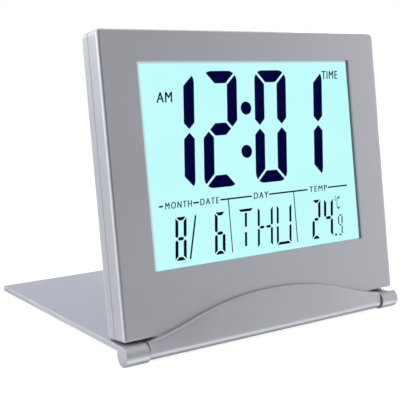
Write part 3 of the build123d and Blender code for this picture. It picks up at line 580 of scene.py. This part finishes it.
FINISHES = {
    "front_bezel": case_paint,
    "rear_case": case_paint,
    "lid": lid_paint,
    "battery_door": silver_paint("silver_paint_door", case_middle, CASE_HALF, lean),
    "mode_button": button_finish,
    "set_button": button_finish,
    "up_button": button_finish,
    "down_button": button_finish,
    "light_button": button_finish,
    "hinge_pin_left": pin_finish,
    "hinge_pin_right": pin_finish,
    "display_lens": clear_sheet("clear_acrylic", (0.02, 0.022, 0.022), 0.01, 0.35, 0.04),
    "front_polariser": clear_sheet("polariser_film", (0.02, 0.022, 0.021), 0.01, 0.12, 0.16),
    "lcd_front_glass": clear_sheet("display_glass", (0.018, 0.022, 0.021), 0.01, 0.2, 0.03),
    "lcd_rear_glass": lit_display(),
    "rear_polariser": grained(
        "rear_film", (0.32, 0.36, 0.35), (0.4, 0.44, 0.43), 0.2, 0.3, fine=1500.0,
    ),
    "lcd_time_pattern": driven_crystal(
        "time_strokes", (0.0, 0.0022, 0.055), (0.0004, 0.004, 0.075), (0.0, 0.0002, 0.041),
    ),
    "lcd_calendar_pattern": driven_crystal(
        "calendar_strokes", (0.0, 0.005, 0.014), (0.001, 0.011, 0.024), (0.0, 0.001, 0.012),
    ),
    "lcd_rule_lines": driven_crystal("rule_strokes", (0.004, 0.022, 0.03), (0.008, 0.035, 0.045)),
    "lens_tape": grained(
        "black_tape", (0.012, 0.012, 0.013), (0.03, 0.03, 0.032), 0.55, 0.8, fine=1600.0,
        relief=2e-5,
    ),
    "display_frame": grained(
        "white_moulding", (0.72, 0.73, 0.73), (0.82, 0.83, 0.82), 0.35, 0.5, fine=1200.0,
    ),
    "light_guide": grained(
        "light_guide_acrylic", (0.6, 0.72, 0.72), (0.75, 0.86, 0.86), 0.08, 0.16,
        Transmission_Weight=0.6, IOR=1.49,
    ),
    "reflector_film": grained(
        "white_film", (0.84, 0.84, 0.83), (0.92, 0.92, 0.91), 0.3, 0.4, fine=2400.0,
    ),
    "backlight_leds": grained(
        "lamp_resin", (0.8, 0.78, 0.5), (0.92, 0.88, 0.62), 0.2, 0.3, cloud=900.0,
    ),
    "zebra_strip": striped_rubber(),
    "circuit_board": circuit_board_lacquer(),
    "chip_blob": grained(
        "black_resin", (0.008, 0.008, 0.009), (0.02, 0.02, 0.022), 0.12, 0.3, cloud=260.0,
        relief=8e-6,
    ),
    "board_components": grained(
        "chip_ceramic", (0.16, 0.12, 0.08), (0.3, 0.24, 0.17), 0.35, 0.5, fine=5000.0,
        cloud=500.0,
    ),
    "quartz_crystal": grained(
        "drawn_can", (0.5, 0.5, 0.5), (0.66, 0.66, 0.66), 0.18, 0.3, cloud=500.0, Metallic=1.0,
    ),
    "temperature_sensor": grained(
        "sensor_epoxy", (0.02, 0.022, 0.05), (0.05, 0.055, 0.11), 0.2, 0.35, cloud=900.0,
    ),
    "button_domes": grained(
        "spring_steel", (0.52, 0.5, 0.46), (0.68, 0.66, 0.6), 0.16, 0.3, cloud=400.0,
        Metallic=1.0,
    ),
    "buzzer_plate": ringed_metal(
        "pressed_brass", (0.56, 0.39, 0.13), (0.72, 0.52, 0.2), (28.0, 34.0, 8.5),
    ),
    "buzzer_ceramic": ringed_metal(
        "fired_silver", (0.62, 0.61, 0.58), (0.78, 0.77, 0.73), (28.0, 34.0, 8.3), 0.5, 1200.0,
    ),
    "buzzer_wires": grained(
        "red_wire_skin", (0.36, 0.02, 0.02), (0.5, 0.04, 0.035), 0.35, 0.5, cloud=500.0,
    ),
    "coin_cell": ringed_metal(
        "cell_can", (0.55, 0.55, 0.55), (0.72, 0.72, 0.71), (-28.0, 34.0, 8.0),
    ),
    "negative_contact": contact_finish,
    "positive_contact": contact_finish,
    "case_screws": screw_finish,
    "board_screws": screw_finish,
}

for name, cad_node in frame["nodes"].items():
    for place in cad_node.material_slots:
        place.material = FINISHES[name]

# Words and thin strokes between the display's glasses, placed in millimetres on the case.
# Each word is struck twice, a little apart, which thickens its upright strokes

DIGIT_SLANT = 0.09
FIRST_STRIKE, SECOND_STRIKE = 3.473, 3.477
RULE_FRONT = 3.4525
RULE_LEVEL = 39.2
HALF_TURN_POINTS = 9


def printed_word(name, text, left, right, bottom, cap, spacing, material, depth):
    """A word between the glasses: the letters' flat outline, its share of the way across and
    up stretched to its box, and leaned as the digits are."""
    curve = bpy.data.curves.new(name, "FONT")
    curve.body = text
    curve.size = 1.0
    curve.space_character = spacing
    curve.resolution_u = 6
    curve.fill_mode = "FRONT"
    source = bpy.data.objects.new(name + "_letters", curve)
    bpy.context.scene.collection.objects.link(source)
    bpy.context.view_layer.update()
    evaluated = source.evaluated_get(bpy.context.evaluated_depsgraph_get())
    mesh = bpy.data.meshes.new_from_object(evaluated)
    mesh.name = name
    points = np.empty(len(mesh.vertices) * 3)
    mesh.vertices.foreach_get("co", points)
    points = points.reshape(-1, 3)
    low, high = points.min(axis=0), points.max(axis=0)
    share = (points[:, :2] - low[:2]) / (high[:2] - low[:2])
    x = left + share[:, 0] * (right - left) + share[:, 1] * cap * DIGIT_SLANT
    placed = on_case(x, bottom + share[:, 1] * cap, depth)
    mesh.vertices.foreach_set("co", placed.ravel())
    mesh.update()
    bpy.data.objects.remove(source)
    word = bpy.data.objects.new(name, mesh)
    bpy.context.scene.collection.objects.link(word)
    mesh.materials.clear()
    mesh.materials.append(material)
    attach(word, "case")


def ruled_strokes(name, strokes, width, material):
    """Thin strokes with half-round ends: each outline is its two end points plus half the width
    times a unit vector that turns half a circle round the one and half a circle round the other."""
    ends = np.asarray(strokes, float).reshape(-1, 2, 2)
    run = ends[:, 1] - ends[:, 0]
    heading = np.arctan2(run[:, 1], run[:, 0])[:, None, None]
    half_circle = np.linspace(-0.5 * np.pi, 0.5 * np.pi, HALF_TURN_POINTS)
    angle = heading + half_circle[None, None, :] + np.array((np.pi, 0.0))[None, :, None]
    outline = ends[..., None, :] + width / 2 * np.stack((np.cos(angle), np.sin(angle)), axis=-1)
    outline = outline.reshape(len(ends), -1, 2)
    points = on_case(outline[..., 0], outline[..., 1], RULE_FRONT).reshape(-1, 3)
    loops = np.arange(len(points)).reshape(len(ends), -1)
    mesh = bpy.data.meshes.new(name)
    mesh.from_pydata(points, [], loops.tolist())
    made = bpy.data.objects.new(name, mesh)
    bpy.context.scene.collection.objects.link(made)
    mesh.materials.append(material)
    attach(made, "case")


label_ink = driven_crystal("label_ink", (0.001, 0.018, 0.024), (0.003, 0.028, 0.034))
bold_ink = driven_crystal("bold_label_ink", (0.001, 0.016, 0.022), (0.003, 0.026, 0.032))
pale_ink = driven_crystal("pale_label_ink", (0.06, 0.22, 0.25), (0.08, 0.27, 0.3))
rule_ink = driven_crystal("rule_ink", (0.0, 0.02, 0.028), (0.002, 0.03, 0.038))

for name, text, left, right, bottom, cap, spacing, ink, apart in (
    ("word_am", "AM", -35.9, -30.3, 71.6, 3.3, 1.12, bold_ink, 0.18),
    ("word_time", "TIME", 33.2, 40.6, 77.9, 2.85, 1.15, label_ink, 0.16),
    ("word_month", "MONTH", -36.1, -26.3, 38.15, 2.1, 1.35, label_ink, 0.14),
    ("word_date", "DATE", -22.9, -15.7, 38.15, 2.1, 1.3, label_ink, 0.14),
    ("word_day", "DAY", -1.3, 4.8, 38.15, 2.1, 1.3, label_ink, 0.14),
    ("word_temperature", "TEMP", 23.3, 31.4, 38.2, 2.0, 1.3, label_ink, 0.14),
    ("word_degrees", "°C", 34.5, 37.0, 31.0, 4.8, 1.0, pale_ink, 0.0),
):
    printed_word(name, text, left, right, bottom, cap, spacing, ink, FIRST_STRIKE)
    if apart > 0.0:
        printed_word(
            name + "_second", text, left + apart, right + apart, bottom, cap, spacing, ink,
            SECOND_STRIKE,
        )

ruled_strokes(
    "rule_strokes",
    [((start, RULE_LEVEL), (end, RULE_LEVEL)) for start, end in (
        (-38.1, -37.05), (-25.35, -23.55), (-14.7, -2.3), (5.5, 22.3), (32.3, 41.1),
    )],
    0.52, rule_ink,
)
ruled_strokes("slash_stroke", [((-28.35, 21.75), (-25.1, 34.95))], 0.62, rule_ink)

# Floor, light and camera. Reflections see a dark card before the clock and a bright one behind
# it, and the floor shows them a bright strip and dimmer places, as on a studio table

FLOOR_RADIUS, FLOOR_CORNERS, FLOOR_DROP = 4.0, 64, 0.02 * MM
TO_THE_FRONT = (0.0, -1.0, 0.0)
TO_THE_FRONT_LEFT = (-0.5, -0.866, 0.0)
TO_THE_BACK_LEFT = (-0.545, 0.822, 0.165)
WHITE = (1.0, 1.0, 1.0, 1.0)
DARK_CARD = (0.1, 0.1, 0.105, 1.0)
PLAIN_LIGHT = (0.41, 0.415, 0.435, 1.0)


def seen_rays(tree):
    """One for camera, glossy and transmission rays, zero for the rays that light the object."""
    rays = add_node(tree, "ShaderNodeLightPath").outputs
    mirrored = maths(tree, "MAXIMUM", rays["Is Glossy Ray"], rays["Is Transmission Ray"])
    return maths(tree, "MAXIMUM", rays["Is Camera Ray"], mirrored)


def mirrored_floor(tree):
    """Colour that the floor shows in reflections: a bright strip along the clock's front foot,
    a painted shadow under the clock, dimmer to its left, and a dark card further to the front."""
    place = add_node(tree, "ShaderNodeTexCoord").outputs["Object"]
    x, y, _ = split(tree, place)
    beside = remap(tree, maths(tree, "ABSOLUTE", x), 58.0 * MM, 62.0 * MM, 1.0, 0.0)
    before = times(tree, band(tree, y, -54.0 * MM, 1.5 * MM, 1.0 * MM), beside)
    # Painted shadow under the clock, seen only in reflections
    under = times(tree, remap(tree, y, -51.4 * MM, -50.4 * MM), beside)
    ahead = pointing(tree, vector_maths(tree, "NORMALIZE", place), TO_THE_FRONT)
    ahead = remap(tree, ahead, 0.93, 0.99, 0.0, 0.6, smooth=True)
    past_foot = remap(tree, y, -75.0 * MM, -95.0 * MM)
    near_enough = remap(tree, y, -400.0 * MM, -250.0 * MM)
    to_left = remap(tree, x, -75.0 * MM, -60.0 * MM, 1.0, 0.0)
    left_behind = times(tree, to_left, remap(tree, y, -60.0 * MM, -40.0 * MM))
    colour = mix_colours(tree, before, (2.1, 2.1, 2.1, 1.0), (4.6, 4.6, 4.65, 1.0))
    colour = mix_colours(tree, under, colour, (0.7, 0.7, 0.7, 1.0))
    colour = mix_colours(tree, times(tree, ahead, past_foot, near_enough), colour, DARK_CARD)
    return mix_colours(tree, left_behind, colour, (1.4, 1.4, 1.43, 1.0))


def mixed_shader(tree, factor, first, second):
    """Blend of two shaders by a factor."""
    made = add_node(tree, "ShaderNodeMixShader")
    feed(tree, factor, made.inputs[0])
    tree.links.new(first, made.inputs[1])
    tree.links.new(second, made.inputs[2])
    return made.outputs[0]


def diffuse(tree, colour):
    """Plain matt shader of one colour."""
    made = add_node(tree, "ShaderNodeBsdfDiffuse")
    made.inputs["Color"].default_value = colour
    return made.outputs[0]


def pale_floor():
    """Wide pale floor, a disc, that looks white to the camera and keeps a faint shadow."""
    ring = np.arange(FLOOR_CORNERS) * 2.0 * np.pi / FLOOR_CORNERS
    low = np.full(FLOOR_CORNERS, -FLOOR_DROP)
    points = np.stack((FLOOR_RADIUS * np.cos(ring), FLOOR_RADIUS * np.sin(ring), low), axis=1)
    mesh = bpy.data.meshes.new("pale_floor")
    mesh.from_pydata(points.tolist(), [], [list(range(FLOOR_CORNERS))])
    floor = bpy.data.objects.new("pale_floor", mesh)
    bpy.context.scene.collection.objects.link(floor)
    material = bpy.data.materials.new("pale_floor")
    material.use_nodes = True
    tree = material.node_tree
    tree.nodes.clear()
    output = add_node(tree, "ShaderNodeOutputMaterial")
    white = add_node(tree, "ShaderNodeEmission")
    glossy = add_node(tree, "ShaderNodeLightPath").outputs["Is Glossy Ray"]
    shown = mix_colours(tree, glossy, (1.27, 1.27, 1.27, 1.0), mirrored_floor(tree))
    feed(tree, shown, white.inputs["Color"])
    pale = mixed_shader(tree, 0.7, diffuse(tree, (0.95, 0.95, 0.97, 1.0)), white.outputs[0])
    plain = diffuse(tree, (0.8, 0.8, 0.8, 1.0))
    tree.links.new(mixed_shader(tree, seen_rays(tree), plain, pale), output.inputs[0])
    mesh.materials.append(material)


def white_world():
    """White to the camera, with cards in reflections, and plain soft light on the object."""
    world = bpy.data.worlds.new("studio")
    world.use_nodes = True
    tree = world.node_tree
    tree.nodes.clear()
    output = add_node(tree, "ShaderNodeOutputWorld")
    background = add_node(tree, "ShaderNodeBackground")
    tree.links.new(background.outputs[0], output.inputs[0])
    looking = add_node(tree, "ShaderNodeTexCoord").outputs["Generated"]
    glossy = add_node(tree, "ShaderNodeLightPath").outputs["Is Glossy Ray"]
    ahead = pointing(tree, looking, TO_THE_FRONT)
    front = remap(tree, ahead, 0.84, 0.95, smooth=True)
    front_left = pointing(tree, looking, TO_THE_FRONT_LEFT)
    front_left = remap(tree, front_left, 0.92, 0.97, smooth=True)
    dark = times(tree, maths(tree, "MAXIMUM", front, front_left), glossy)
    behind = times(tree, remap(tree, ahead, -0.6, 0.2, 1.0, 0.0, smooth=True), glossy)
    back_left = pointing(tree, looking, TO_THE_BACK_LEFT)
    back_left = times(tree, remap(tree, back_left, 0.8, 0.96, smooth=True), glossy)
    seen = mix_colours(tree, behind, WHITE, (0.9, 0.93, 1.03, 1.0))
    seen = mix_colours(tree, back_left, seen, (2.3, 2.32, 2.36, 1.0))
    seen = mix_colours(tree, dark, seen, DARK_CARD)
    feed(tree, mix_colours(tree, seen_rays(tree), PLAIN_LIGHT, seen), background.inputs[0])
    bpy.context.scene.world = world


CLOCK_MIDDLE = 50.0 * MM


def soft_box(name, azimuth, elevation, distance, width, height, power, tint=(1.0, 1.0, 1.0)):
    """Area light on a sphere round the clock, facing its middle."""
    lamp = bpy.data.lights.new(name, "AREA")
    lamp.shape = "RECTANGLE"
    lamp.size, lamp.size_y = width, height
    lamp.energy = power
    lamp.color = tint
    made = bpy.data.objects.new(name, lamp)
    turn, rise = radians(azimuth), radians(elevation)
    made.location = (
        distance * sin(turn) * cos(rise),
        -distance * cos(turn) * cos(rise),
        CLOCK_MIDDLE + distance * sin(rise),
    )
    made.rotation_euler = (radians(90.0) - rise, 0.0, turn)
    bpy.context.scene.collection.objects.link(made)


white_world()
pale_floor()
soft_box("left_key", -95.0, 26.0, 0.7, 0.5, 0.5, 1.38, (0.95, 0.97, 1.06))
soft_box("edge_strip", -70.0, 6.0, 0.7, 0.12, 0.3, 0.45)
soft_box("right_fill", 62.0, 15.0, 0.5, 0.3, 0.4, 0.4)
soft_box("top_soft", -60.0, 68.0, 0.9, 0.5, 0.5, 0.7)
soft_box("back_fill", -142.0, 30.0, 0.9, 0.6, 0.5, 1.0)
soft_box("back_right", 124.0, 14.0, 0.9, 0.36, 0.4, 3.6)

SENSOR_WIDTH = 36.0
PICTURE_WIDTH = 400.0
FOCAL_LENGTH = 826.53  # in pixels of the picture
camera_data = bpy.data.cameras.new("camera")
camera_data.sensor_width = SENSOR_WIDTH
camera_data.lens = FOCAL_LENGTH / PICTURE_WIDTH * SENSOR_WIDTH
camera_data.clip_start = 0.01
camera_data.clip_end = 50.0
camera = bpy.data.objects.new("camera", camera_data)
camera.location = (-167.999 * MM, -256.931 * MM, 92.174 * MM)
camera.rotation_euler = (radians(90.0 - 9.9234), 0.0, radians(-33.632))
bpy.context.scene.collection.objects.link(camera)
bpy.context.scene.camera = camera

bpy.context.scene.view_settings.view_transform = "Standard"
